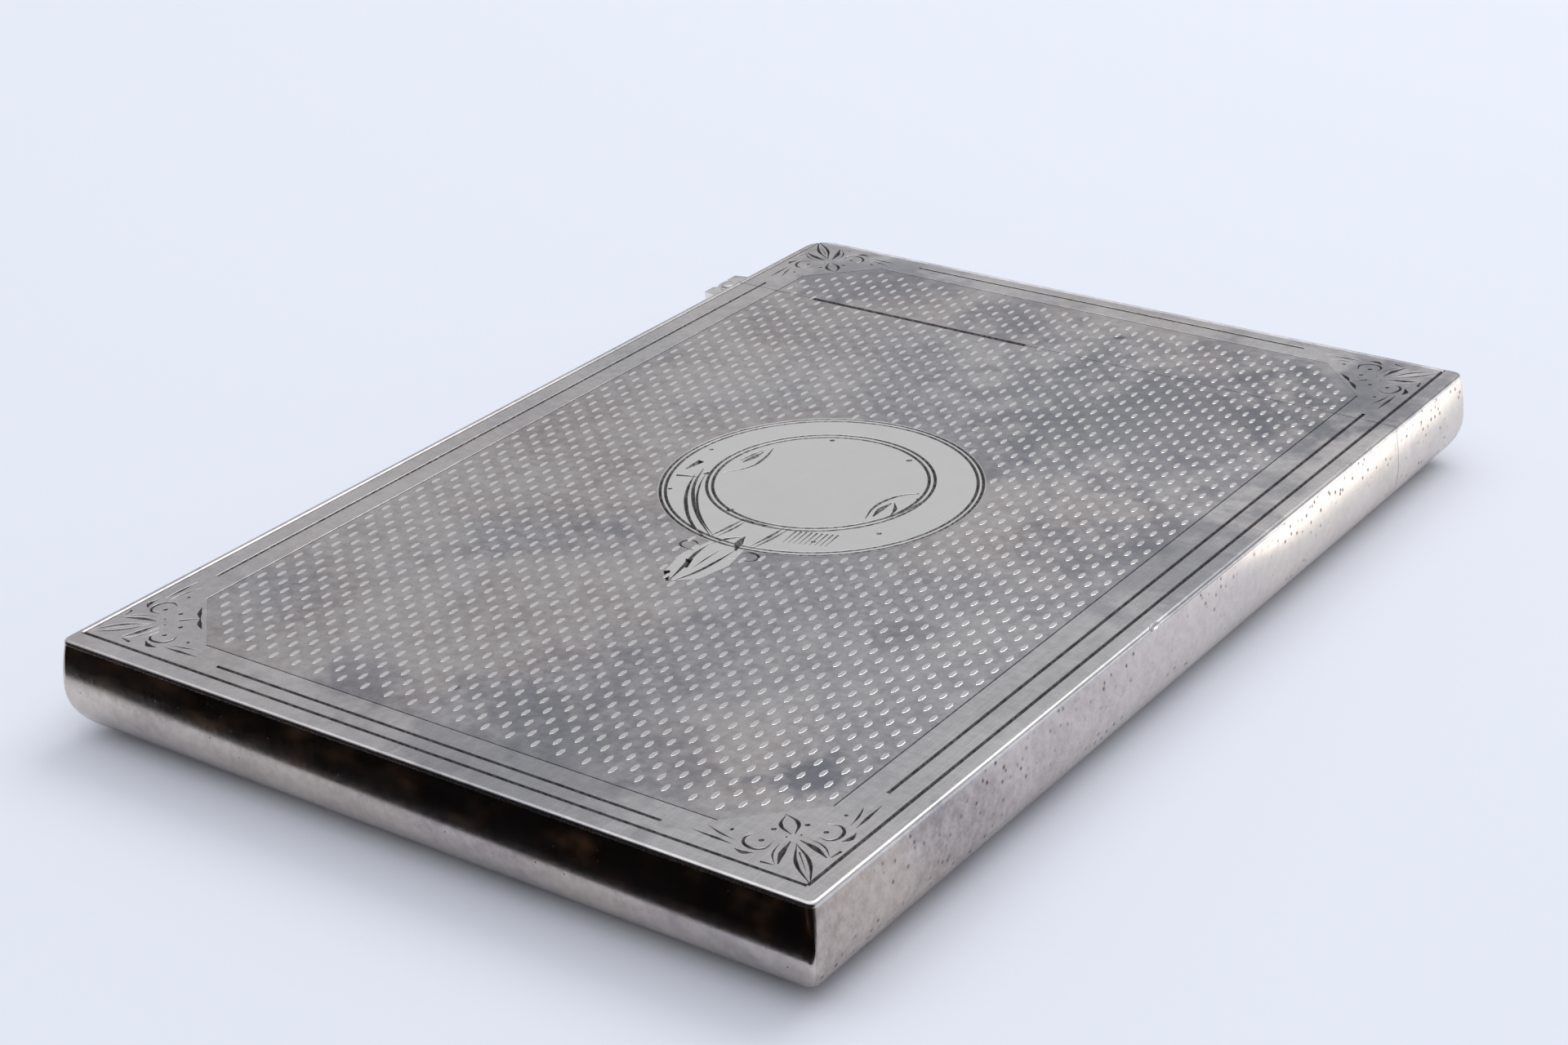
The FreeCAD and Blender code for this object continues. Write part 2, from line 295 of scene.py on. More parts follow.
def straight_groove(start, end, width):
    """A diamond bar along a border line; its lower half cuts the groove."""
    start, end = Vector((*start, FACE_Z)), Vector((*end, FACE_Z))
    along_x = abs(end.x - start.x) > abs(end.y - start.y)
    turn = (0, math.pi / 2, 0) if along_x else (math.pi / 2, 0, 0)
    return cylinder("groove", 4, width / 2, (end - start).length, (start + end) / 2, turn)


def ring_groove(centre, radius, width):
    return primitive(
        bpy.ops.mesh.primitive_torus_add, "ring", major_segments=ROUND_SIDES, minor_segments=4,
        major_radius=radius, minor_radius=width / 2, location=(*centre, FACE_Z)
    )


def stroke(points, width):
    """A graver's stroke through the points: pointed at both ends, or a wedge if straight."""
    line = bpy.data.curves.new("stroke", "CURVE")
    line.dimensions = "3D"
    line.bevel_depth = width / 2
    line.bevel_resolution = 0
    line.resolution_u = 5
    line.use_fill_caps = True
    spline = line.splines.new("BEZIER")
    last = len(points) - 1
    spline.bezier_points.add(last)
    for number, (knot, place) in enumerate(zip(spline.bezier_points, points)):
        knot.co = (*place, FACE_Z)
        knot.handle_left_type = knot.handle_right_type = "AUTO"
        share = number / last
        knot.radius = 1.0 - 0.55 * share if last == 1 else 0.25 + 0.75 * math.sin(math.pi * share)
    piece = bpy.data.objects.new("stroke", line)
    bpy.context.scene.collection.objects.link(piece)
    only(piece)
    bpy.ops.object.convert(target="MESH")
    piece = newest("stroke")
    edit(piece)
    bpy.ops.mesh.remove_doubles(threshold=0.002 * MM)
    bpy.ops.mesh.normals_make_consistent(inside=False)
    return leave(piece)


def punch(centre, radius):
    """A round punch mark, cut by a short cone."""
    return primitive(
        bpy.ops.mesh.primitive_cone_add, "punch", vertices=10, radius1=radius * 0.45,
        radius2=radius, depth=2 * PUNCH_DEPTH, location=(*centre, FACE_Z)
    )


# Strokes of the corner spray, in millimetres from its hub: the first number runs towards
# the case's corner, the second across. Each is cut again on the other side of the diagonal.
CORNER_STROKES = (
    (((0.9, 0.0), (3.2, 0.45), (6.0, 0.0)), 0.34),
    (((2.0, 0.0), (4.4, 0.0)), 0.14),
    (((0.5, 0.35), (1.8, 1.15), (3.1, 1.65)), 0.52),
    (((0.3, 0.85), (1.7, 1.75), (3.1, 1.85)), 0.2),
    (((0.3, 1.5), (1.0, 2.3), (0.5, 3.2), (-0.6, 3.3), (-1.1, 2.5)), 0.32),
    (((0.5, 4.1), (1.1, 3.6), (1.3, 2.9)), 0.5),
    (((-0.1, 4.2), (-1.2, 5.2), (-2.6, 6.5)), 0.34),
    (((-0.5, 3.9), (-1.6, 4.7), (-2.9, 5.4)), 0.24),
    (((2.5, 2.7), (3.1, 1.9)), 0.3),
)
INNER_LEAF = ((((-0.3, 0.1), (-1.7, 0.6), (-3.0, 0.0)), 0.36),)
INNER_BAR = (
    (((-2.9, 1.8), (-2.75, 0.9), (-2.8, 0.0)), 0.44),
    (((-1.2, 0.0), (-2.8, 0.0)), 0.34),
)
CORNER_PUNCHES = ((-1.3, 1.15, 0.3), (-0.1, 2.2, 0.3), (-1.9, 3.9, 0.22), (-0.1, 0.5, 0.12))

# Strokes of the buckled strap, in millimetres from the centre of the round panel.
STRAP_STROKES = (
    (((-10.4, -2.6), (-9.3, -5.3), (-7.7, -7.7), (-5.1, -10.5), (-2.1, -12.9)), 0.3),
    (((-10.3, -4.0), (-9.2, -6.4), (-7.4, -9.1), (-4.4, -12.1), (-2.2, -13.4)), 0.3),
    (((-9.6, -3.4), (-8.6, -5.6), (-6.6, -8.6), (-4.0, -11.2), (-2.1, -12.6)), 0.2),
    (((-1.6, -8.9), (-1.8, -10.9), (-2.1, -13.0)), 0.34),
    (((-1.2, -9.0), (-1.3, -10.9), (-1.6, -12.8)), 0.26),
    (((2.2, -8.5), (2.1, -10.6), (1.8, -12.8)), 0.32),
    (((2.7, -8.4), (2.5, -10.9), (2.1, -13.3)), 0.26),
    (((-1.5, -8.9), (-0.2, -9.1), (1.3, -8.8)), 0.34),
    (((0.4, -11.6), (-0.6, -12.7), (-1.3, -14.2)), 0.34),
    (((0.4, -11.6), (0.7, -12.8), (1.3, -14.1)), 0.6),
    (((8.4, 2.8), (7.2, 1.8), (6.5, 0.4), (6.3, -1.5), (6.9, -3.8)), 0.28),
    (((9.1, 2.4), (9.0, 0.1), (8.5, -2.3), (7.9, -3.8)), 0.22),
    (((7.2, -3.1), (7.0, -1.6), (7.1, -0.2)), 0.5),
    (((7.3, 0.0), (8.0, -1.0), (8.3, -2.1)), 0.3),
    (((-7.7, 3.9), (-7.2, 1.9), (-7.2, -0.2), (-8.5, -2.4)), 0.26),
    (((-8.1, 3.5), (-8.5, 1.9), (-8.7, 0.1)), 0.24),
    (((-8.0, 2.8), (-8.1, 1.6), (-8.3, 0.2)), 0.5),
    (((-11.5, -1.4), (-11.7, -3.4)), 0.56),
    (((-11.6, -4.8), (-9.9, -4.2)), 0.34),
)
TONGUE_STROKES = (
    (((-1.3, -14.2), (-1.2, -16.0), (-0.7, -18.2), (-0.1, -21.2)), 0.34),
    (((1.2, -14.2), (1.1, -16.6), (0.8, -19.0), (0.1, -21.2)), 0.34),
    (((0.1, -14.0), (0.1, -16.4), (0.2, -18.6)), 0.18),
    (((-1.7, -14.8), (-2.9, -14.3), (-3.4, -15.2), (-1.6, -15.8)), 0.28),
    (((1.8, -14.4), (2.6, -13.7), (3.7, -14.4), (1.7, -15.6)), 0.28),
    (((-1.0, -17.2), (-0.3, -18.6)), 0.5),
    (((-1.3, -19.8), (-0.2, -21.2)), 0.46),
)
STRAP_PUNCHES = (
    (-4.3, 7.9, 0.34), (3.7, 7.8, 0.4), (-12.2, 1.0, 0.28), (-9.6, -3.2, 0.42),
    (-10.4, -7.3, 0.28), (-3.6, -8.1, 0.48), (9.4, -5.5, 0.34), (5.7, -9.5, 0.3),
    (8.0, 2.5, 0.16), (8.5, 1.6, 0.16),
)

# The hatching on the strap, in millimetres: the first line's top, the step and the run of a line.
HATCH_COUNT = 9
HATCH_TOP = (3.4, -8.6)
HATCH_STEP = (0.42, 0.14)
HATCH_RUN = (0.25, -2.3)
HATCH_WIDTH = 0.18



def settings():
    return bpy.context.scene.card_case


def pattern_centre():
    return Vector(settings().pattern_shift)


def garter_centre():
    return pattern_centre() + Vector(settings().garter_shift)


def border_grooves():
    """Two framing lines and a fine one round the field; only the outer one runs right round."""
    look = settings()
    centre = pattern_centre()
    grooves = []
    for (half_x, half_y), stop, width in (
        (look.outer_frame, 0.0, look.groove_width),
        (look.inner_frame, look.spray_reach, look.groove_width),
        (look.field_half, look.field_chamfer, look.field_line),
    ):
        for side in (-1, 1):
            x, y = centre.x + side * half_x, centre.y + side * half_y
            low_y, high_y = centre.y - half_y + stop, centre.y + half_y - stop
            low_x, high_x = centre.x - half_x + stop, centre.x + half_x - stop
            grooves.append(straight_groove((x, low_y), (x, high_y), width))
            grooves.append(straight_groove((low_x, y), (high_x, y), width))
    return grooves


def parting_gap():
    """The worn gap where the lid meets the body, opened up on the hinge side."""
    look = settings()
    y = (PARTING + LID_START) / 2
    start, end = look.gap_span
    return straight_groove((start, y), (end, y), look.gap_width)


def corner_sprays():
    """The same spray of leaves and scrolls at each corner, mirrored to suit."""
    half_x, half_y = settings().field_half
    centre = pattern_centre()
    lean = math.sqrt(0.5)
    marks = []
    for sx, sy in CORNERS:
        hub = Vector((centre.x + sx * half_x, centre.y + sy * (half_y - HUB_INSET)))

        def spot(out, across):
            x = (out + across) * lean * MM
            y = (out - across) * lean * MM
            return hub.x + sx * x, hub.y + sy * y

        for points, width in CORNER_STROKES + (INNER_BAR if sx == sy else INNER_LEAF):
            marks.append(stroke([spot(*point) for point in points], width * MM))
            if any(across for _, across in points):
                mirrored = [spot(out, -across) for out, across in points]
                marks.append(stroke(mirrored, width * MM))
        for out, across, radius in CORNER_PUNCHES:
            for hand in (-1, 1):
                marks.append(punch(spot(out, hand * across), radius * MM))
    return marks


def garter_marks():
    """The buckled strap round the panel: rings, strokes, hatching and punched dots."""
    look = settings()
    centre = garter_centre()
    marks = []
    for middle, radius, gaps in (
        (centre, look.garter_radius, (0.15, 0.6)),
        (centre + Vector(PANEL_SHIFT), look.panel_radius, (0, 0.5)),
    ):
        for gap in gaps:
            marks.append(ring_groove(middle, radius - gap * MM, look.ring_width))
    for points, width in STRAP_STROKES + TONGUE_STROKES:
        places = [(centre.x + x * MM, centre.y + y * MM) for x, y in points]
        marks.append(stroke(places, STRAP_BOLDNESS * width * MM))
    for x, y, radius in STRAP_PUNCHES:
        marks.append(punch((centre.x + x * MM, centre.y + y * MM), radius * MM))
    for number in range(HATCH_COUNT):
        x = centre.x + (HATCH_TOP[0] + HATCH_STEP[0] * number) * MM
        y = centre.y + (HATCH_TOP[1] + HATCH_STEP[1] * number) * MM
        foot = (x + HATCH_RUN[0] * MM, y + HATCH_RUN[1] * MM)
        marks.append(stroke([(x, y), foot], HATCH_WIDTH * MM))
    return marks


def tongue_blank():
    """The strap's pointed end below the ring, left standing in the engine-turned field."""
    centre = garter_centre()
    tongue = primitive(
        bpy.ops.mesh.primitive_circle_add, "tongue", (*TONGUE_HALF, 1), vertices=8, radius=1,
        fill_type="NGON",
        location=(centre.x + TONGUE_SHIFT, centre.y - TONGUE_REACH, FACE_Z - 0.5 * MM)
    )
    return apply_modifier(tongue, "SOLIDIFY", thickness=MM, offset=1)


def field_recess():
    """The block that sinks the engine-turned field below the border."""
    look = settings()
    depth = look.turning_depth
    centre = pattern_centre()
    half_x, half_y = look.field_half
    low = (centre.x - half_x, centre.y - half_y, FACE_Z - depth)
    high = (centre.x + half_x, centre.y + half_y, FACE_Z + depth)
    block = cube("recess", low, high)
    for sx, sy in CORNERS:
        corner = (centre.x + sx * (half_x - look.field_chamfer), centre.y + sy * half_y, FACE_Z)
        slice_off(block, corner, (sx, sy, 0))
    place = (*garter_centre(), FACE_Z)
    disc = cylinder("disc", ROUND_SIDES, look.garter_radius + 0.1 * MM, 4 * depth, place)
    cut_away(block, disc)
    return cut_away(block, tongue_blank())


# ---- the pieces


def upright_rounds(piece, pick_corners, **values):
    """Round the upright corners; the lid's corner by the hinge is worn rounder."""
    look = settings()
    for worn, offset in ((True, look.worn_corner), (False, look.corner_round)):
        pick_corners(piece, worn)
        bpy.ops.mesh.bevel(offset=offset, segments=5, **values)


def pick_front_corners(blank, worn):
    pick_edges(
        blank,
        lambda a, b: abs(a.z - b.z) > SHEET / 2
        and (a.x < 0 < a.y) == worn
        and abs(a.x) + abs(a.y) > FACE_X + FACE_Y - NEARLY,
    )


def front_blank():
    """The whole front as one sheet, with worn corners and edges."""
    blank = cube("front", (-FACE_X, -FACE_Y, FACE_Z - SHEET), (FACE_X, FACE_Y, FACE_Z))
    edit(blank)
    upright_rounds(blank, pick_front_corners)
    pick_edges(blank, lambda a, b: min(a.z, b.z) > FACE_Z - 1e-6)
    bpy.ops.mesh.bevel(offset=settings().edge_round, segments=4)
    leave(blank)
    score(blank, 0, FACE_X)
    score(blank, 1, FACE_Y)
    return blank


def rim_nick():
    """A small nick that wear has left in the right rim."""
    look = settings()
    x, y = look.nick_place
    return primitive(
        bpy.ops.mesh.primitive_uv_sphere_add, "nick", (0.6, 1.0, 0.5), segments=24, ring_count=12,
        radius=look.nick_radius, location=(x + 0.3 * look.nick_radius, y, FACE_Z)
    )


def engraved_front():
    blank = front_blank()
    cut_away(blank, field_recess())
    cut_away(blank, *border_grooves(), parting_gap())
    cut_away(blank, *corner_sprays())
    cut_away(blank, *garter_marks())
    return cut_away(blank, rim_nick())


def barleycorns():
    """Engine turning: flat pointed grains left standing between crossing waves of cuts."""
    look = settings()
    pitch_x, pitch_y = look.grain_pitch
    half_x, half_y = look.field_half
    depth = look.turning_depth - look.grain_drop
    top = FACE_Z - look.grain_drop
    grain = cylinder("grain", GRAIN_CORNERS // 2, 1, depth, (0, 0, top - depth / 2))
    edit(grain)
    for upper, reach_x, reach_y in ((True, *look.grain_land), (False, *look.grain_foot)):
        pick_verts(grain, lambda co: (co.z > top - depth / 2) == upper)
        level = (0, 0, top if upper else top - depth)
        width = reach_x / math.sin(math.pi / 3)
        bpy.ops.transform.resize(value=(width, reach_y, 1), center_override=level)
    for end in (-1, 1):
        pick_verts(grain, lambda co: end * co.y > 0.1 * MM)
        bpy.ops.transform.translate(value=(-end * look.grain_lean, 0, 0))
    leave(grain)
    centre = pattern_centre()
    columns = math.ceil(half_x / pitch_x) + 1
    rows = math.ceil(half_y / pitch_y) + 1
    sets = []
    for shift in (0, 1):
        part = copy_of(grain, "grains")
        part.location.x = centre.x - (columns - shift) * pitch_x
        part.location.y = centre.y - (rows - shift) * pitch_y
        only(part)
        bpy.ops.object.transform_apply(location=True)
        for count, way in ((columns + 1, (2 * pitch_x, 0, 0)), (rows + 1, (0, 2 * pitch_y, 0))):
            apply_modifier(
                part, "ARRAY", count=count, use_relative_offset=False, use_constant_offset=True,
                constant_offset_displace=way
            )
        sets.append(part)
    bpy.data.objects.remove(grain)
    only(sets[0])
    sets[1].select_set(True)
    bpy.ops.object.join()
    return drop_grains(newest("barleycorns"))


def covered(x, y):
    """Whether a grain here would lie off the field, or under the strap or the worn gap."""
    look = settings()
    centre, spot = pattern_centre(), garter_centre()
    pitch_x, pitch_y = look.grain_pitch
    half_x, half_y = look.field_half
    gap_start, gap_end = look.gap_span
    off_x, off_y = abs(x - centre.x), abs(y - centre.y)
    tip_x, tip_y = TONGUE_CLEAR
    return (
        off_x > half_x - 0.35 * pitch_x
        or off_y > half_y - 0.5 * pitch_y
        or off_x + off_y > half_x + half_y - look.field_chamfer - 0.5 * pitch_x
        or (Vector((x, y)) - spot).length < look.garter_radius + 0.5 * MM
        or (gap_start < x < gap_end and abs(y - PARTING) < GAP_CLEAR)
        or abs(x - spot.x) / tip_x + abs(y - spot.y + TONGUE_REACH) / tip_y < 1
    )


def drop_grains(field):
    """Delete the grains that nothing of the engine-turned field would show."""
    edit(field, "DESELECT")
    bpy.ops.mesh.select_mode(type="VERT")
    mesh = bmesh.from_edit_mesh(field.data)
    mesh.verts.ensure_lookup_table()
    for start in range(0, len(mesh.verts), GRAIN_CORNERS):
        grain = mesh.verts[start:start + GRAIN_CORNERS]
        x = sum(vert.co.x for vert in grain) / GRAIN_CORNERS
        y = sum(vert.co.y for vert in grain) / GRAIN_CORNERS
        gone = covered(x, y)
        for vert in grain:
            vert.select = gone
    mesh.select_flush_mode()
    bmesh.update_edit_mesh(field.data)
    bpy.ops.mesh.delete(type="VERT")
    return leave(field)


def split_at_parting(piece, body_name, lid_name):
    """Part one length of work into the body's piece and the lid's."""
    lid = copy_of(piece, lid_name)
    rename(piece, body_name)
    slice_off(piece, (0, PARTING, 0), (0, 1, 0))
    slice_off(lid, (0, LID_START, 0), (0, -1, 0))
    return piece, lid


def wall_profile():
    """Heights and outward steps of the wall, from under the front plate to the flat back."""
    look = settings()
    rise = FACE_Z - BACK_ROUND
    bow = SEAM_X - FACE_X + look.edge_lean
    radius = (rise * rise + bow * bow) / (2 * bow)
    top = FACE_Z - SHEET
    levels = []
    for number in range(look.wall_steps + 1):
        height = top + (BACK_ROUND - top) * number / look.wall_steps
        out = math.sqrt(radius ** 2 - (height - BACK_ROUND) ** 2) - radius
        levels.append((height, out))
    for number in range(1, look.round_steps + 1):
        angle = math.pi / 2 * number / look.round_steps
        levels.append((BACK_ROUND * (1 - math.sin(angle)), BACK_ROUND * (math.cos(angle) - 1)))
    return levels


def wall_ring():
    """The drawn wall all round the case, extruded level by level from a rounded outline."""
    levels = wall_profile()
    height, out = levels[0]
    outline = (SEAM_X + out, SEAM_Y + out, 1)
    ring = primitive(
        bpy.ops.mesh.primitive_plane_add, "wall", outline, size=2, location=(0, 0, height)
    )
    corner = outline[0] + outline[1] - NEARLY
    edit(ring)
    upright_rounds(
        ring,
        lambda part, worn: pick_verts(
            part, lambda co: (co.x < 0 < co.y) == worn and abs(co.x) + abs(co.y) > corner
        ),
        affect="VERTICES",
    )
    bpy.ops.mesh.select_all(action="SELECT")
    bpy.ops.mesh.delete(type="ONLY_FACE")
    bpy.ops.mesh.select_mode(type="EDGE")
    bpy.ops.mesh.select_all(action="SELECT")
    for (above, wide), (below, narrow) in zip(levels, levels[1:]):
        bpy.ops.mesh.extrude_edges_move(TRANSFORM_OT_translate={"value": (0, 0, below - above)})
        grow = ((SEAM_X + narrow) / (SEAM_X + wide), (SEAM_Y + narrow) / (SEAM_Y + wide), 1)
        bpy.ops.transform.resize(value=grow, center_override=(0, 0, 0))
    bpy.ops.mesh.select_all(action="SELECT")
    bpy.ops.mesh.normals_make_consistent(inside=False)
    leave(ring)
    score(ring, 1, SEAM_Y)
    return apply_modifier(ring, "SOLIDIFY", thickness=SHEET, offset=-1, use_even_offset=True)


def hinge_relief():
    """The round notch that lets the hinge's knuckles turn clear of the wall."""
    clear = settings().hinge_clearance
    radius = (HINGE_HIGH.y - HINGE_LOW.y) / 2 + clear
    depth = HINGE_HIGH.z - HINGE_LOW.z + 2 * clear
    return cylinder("relief", 48, radius, depth, (HINGE_LOW + HINGE_HIGH) / 2)


def edge_strips():
    """The ring parted at the lid and mitred at the corners into the six edge strips."""
    body, lid = split_at_parting(wall_ring(), "body_ring", "lid_ring")
    strips = []
    for part, ring, end in (("body", body, -1), ("lid", lid, 1)):
        corner_y = end * FACE_Y
        for side, sign in (("left", -1), ("right", 1)):
            strip = copy_of(ring, f"{part}_{side}_strip")
            slice_off(strip, (sign * FACE_X, corner_y, 0), (-sign, end, 0))
            slice_off(strip, (0, 0, 0), (-sign, 0, 0), fill=False)
            if side == "left":
                cut_away(strip, hinge_relief())
            strips.append((strip, part, f"{part}_{side}_edge"))
        strip = copy_of(ring, f"{part}_end_strip")
        for sign in (-1, 1):
            slice_off(strip, (sign * FACE_X, corner_y, 0), (sign, -end, 0))
        slice_off(strip, (0, 0, 0), (0, -end, 0), fill=False)
        strips.append((strip, part, f"{part}_end_edge"))
        bpy.data.objects.remove(ring)
    return strips


def softened(node_name, name, width):
    """A copy of a plain CAD node with its edges eased."""
    piece = copy_of(frame["nodes"][node_name], name)
    piece.parent = None
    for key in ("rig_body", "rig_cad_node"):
        if key in piece:
            del piece[key]
    edit(piece)
    bpy.ops.mesh.remove_doubles(threshold=1e-6)
    bpy.ops.mesh.dissolve_limited(angle_limit=math.radians(2))
    leave(piece)
    corner = math.radians(40)
    apply_modifier(
        piece, "BEVEL", width=width, segments=2, limit_method="ANGLE", angle_limit=corner
    )
    return smooth(piece, 35)


# ---- materials


def put(tree, target, term):
    """Wire another node's output into this input, or set the input's value."""
    if isinstance(term, bpy.types.NodeSocket):
        tree.links.new(term, target)
    elif target.type == "RGBA":
        target.default_value = (*term, 1.0)
    else:
        target.default_value = term


def feed(tree, made, **values):
    """Set a node's properties or, failing that, its inputs by name."""
    for key, term in values.items():
        if hasattr(made, key):
            setattr(made, key, term)
        else:
            put(tree, made.inputs[key.replace("_", " ")], term)
    return made


def node(tree, kind, **values):
    return feed(tree, tree.nodes.new(kind), **values)


def group(name, inputs, outputs):
    """A shader node group; inputs without a default are vectors, outputs are plain values."""
    made = bpy.data.node_groups.new(name, "ShaderNodeTree")
    for label, default in {"Vector": None, **inputs}.items():
        kind = "NodeSocketVector" if default is None else "NodeSocketFloat"
        socket = made.interface.new_socket(label, in_out="INPUT", socket_type=kind)
        if default is not None:
            socket.default_value = default
    for label in outputs:
        made.interface.new_socket(label, in_out="OUTPUT", socket_type="NodeSocketFloat")
    start = made.nodes.new("NodeGroupInput")
    return made, start.outputs, made.nodes.new("NodeGroupOutput")


def ramp(tree, value, low, high, to_low=0.0, to_high=1.0):
    """A clamped, smooth change of value from low..high to to_low..to_high."""
    return node(
        tree, "ShaderNodeMapRange", interpolation_type="SMOOTHSTEP", Value=value, From_Min=low,
        From_Max=high, To_Min=to_low, To_Max=to_high
    ).outputs["Result"]


def math_node(tree, operation, first, second=0.0):
    made = node(tree, "ShaderNodeMath", operation=operation)
    put(tree, made.inputs[0], first)
    put(tree, made.inputs[1], second)
    return made.outputs[0]


def times(tree, result, *factors):
    for factor in factors:
        result = math_node(tree, "MULTIPLY", result, factor)
    return result


def plus(tree, result, *terms):
    for term in terms:
        result = math_node(tree, "ADD", result, term)
    return result


def blend_colours(tree, factor, first, second):
    made = node(tree, "ShaderNodeMix", data_type="RGBA")
    for number, term in ((0, factor), (6, first), (7, second)):
        put(tree, made.inputs[number], term)
    return made.outputs[2]


def distance(tree, first, second):
    made = node(tree, "ShaderNodeVectorMath", operation="DISTANCE")
    put(tree, made.inputs[0], first)
    put(tree, made.inputs[1], second)
    return made.outputs["Value"]


def noise(tree, place, scale, detail=3.0, roughness=0.55):
    """Noise on object coordinates, in cells per metre."""
    return node(
        tree, "ShaderNodeTexNoise", Vector=place, Scale=scale, Detail=detail, Roughness=roughness
    ).outputs["Fac"]


def tarnish_group():
    """Clouded tarnish: a broad cloud broken up by a finer one, with cool patches and stains."""
    tree, ins, end = group("Tarnish", {"Amount": 0.5}, ("Mask", "Cool", "Stains"))
    place = ins["Vector"]
    cloud = ramp(tree, noise(tree, place, 90.0, 4.0), 0.36, 0.64, 0.8, 1.05)
    fine = ramp(tree, noise(tree, place, 1100.0, 4.0, 0.7), 0.3, 0.7, 0.72, 1.0)
    feed(
        tree, end, Mask=times(tree, cloud, fine, ins["Amount"]),
        Cool=ramp(tree, noise(tree, place, 42.0), 0.44, 0.62),
        Stains=ramp(tree, noise(tree, place, 120.0, 3.0, 0.6), 0.62, 0.74)
    )


def pits_group():
    """Small dark pits where the sheet has corroded."""
    tree, ins, end = group("Pits", {"Size": 0.2}, ("Mask",))
    place = ins["Vector"]
    cells = node(tree, "ShaderNodeTexVoronoi", feature="F1", Vector=place, Scale=1300.0)
    patch = ramp(tree, noise(tree, place, 110.0, 2.0), 0.36, 0.56)
    chosen = node(tree, "ShaderNodeSeparateColor", Color=cells.outputs["Color"])
    some = ramp(tree, chosen.outputs[0], 0.55, 0.6)
    near = ramp(tree, cells.outputs["Distance"], 0.03, ins["Size"], 1.0, 0.0)
    feed(tree, end, Mask=times(tree, near, some, patch))


def rubbing_group():
    """Fine rubbing marks, two directions, as a height and a change of roughness."""
    tree, ins, end = group("Rubbing", {}, ("Height", "Mask"))
    marks = []
    for stretch, share in (((4200.0, 160.0, 1500.0), 0.6), ((190.0, 3600.0, 1700.0), 0.4)):
        drawn = node(tree, "ShaderNodeMapping", Vector=ins["Vector"], Scale=stretch)
        marks.append(times(tree, noise(tree, drawn.outputs["Vector"], 1.0, 3.0, 0.6), share))
    both = plus(tree, *marks)
    feed(tree, end, Height=both, Mask=ramp(tree, both, 0.35, 0.65))


def depth_group():
    """How far a point of the front lies below its surface, between two depths."""
    tree, ins, end = group("Engraved Depth", {"Start": 0.0, "Full": 0.0001}, ("Mask",))
    parts = node(tree, "ShaderNodeSeparateXYZ", Vector=ins["Vector"])
    below = math_node(tree, "SUBTRACT", FACE_Z, parts.outputs["Z"])
    mask = ramp(tree, below, ins["Start"], ins["Full"])
    for axis, reach in (("X", FACE_X - RIM), ("Y", FACE_Y - RIM)):
        off = math_node(tree, "ABSOLUTE", parts.outputs[axis])
        mask = times(tree, mask, math_node(tree, "LESS_THAN", off, reach))
    feed(tree, end, Mask=mask)


def stain_group():
    """One soft round stain with a ragged edge."""
    tree, ins, end = group("Round Stain", {"Centre": None, "Radius": 0.003}, ("Mask",))
    away = distance(tree, ins["Vector"], ins["Centre"])
    share = math_node(tree, "DIVIDE", away, ins["Radius"])
    ragged = ramp(tree, noise(tree, ins["Vector"], 260.0, 3.0, 0.6), 0.3, 0.7, -0.45, 0.45)
    feed(tree, end, Mask=ramp(tree, plus(tree, share, ragged), 0.25, 1.15, 1.0, 0.0))


def use_group(tree, name, place, **values):
    made = node(tree, "ShaderNodeGroup", node_tree=bpy.data.node_groups[name])
    return feed(tree, made, Vector=place, **values).outputs


def start_material(name):
    """A new material: its node tree, its Principled shader and the piece's own coordinates."""
    made = bpy.data.materials.new(name)
    made.use_nodes = True
    tree = made.node_tree
    place = node(tree, "ShaderNodeTexCoord").outputs["Object"]
    return tree, tree.nodes["Principled BSDF"], place


def beyond(tree, place, centre, radius):
    """One outside a circle on the front face, nearly nothing inside it."""
    away = distance(tree, place, (centre.x, centre.y, FACE_Z))
    return ramp(tree, away, radius - 0.1 * MM, radius + 0.1 * MM, KEPT_CLEAN, 1.0)


def depth_mask(tree, place, start, full):
    """The front's engraved depth as a mask, from start to full in millimetres."""
    return use_group(tree, "Engraved Depth", place, Start=start * MM, Full=full * MM)["Mask"]


# Stains on the front: centre in millimetres, radius, strength.
FRONT_STAINS = (
    (25.0, -37.7, 3.4, 0.65),
    (19.8, -16.7, 3.0, 0.32),
    (-11.0, -43.8, 4.5, 0.35),
    (-24.0, 43.8, 9.0, 0.4),
    (-6.0, 43.0, 6.0, 0.35),
    (16.0, 29.0, 20.0, 0.42),
    (30.0, 42.0, 12.0, 0.45),
    (8.0, -47.0, 14.0, 0.35),
    (33.0, 5.0, 12.0, 0.35),
    (-3.8, -41.3, 0.5, 0.9),
    (4.6, 43.2, 0.6, 0.9),
)

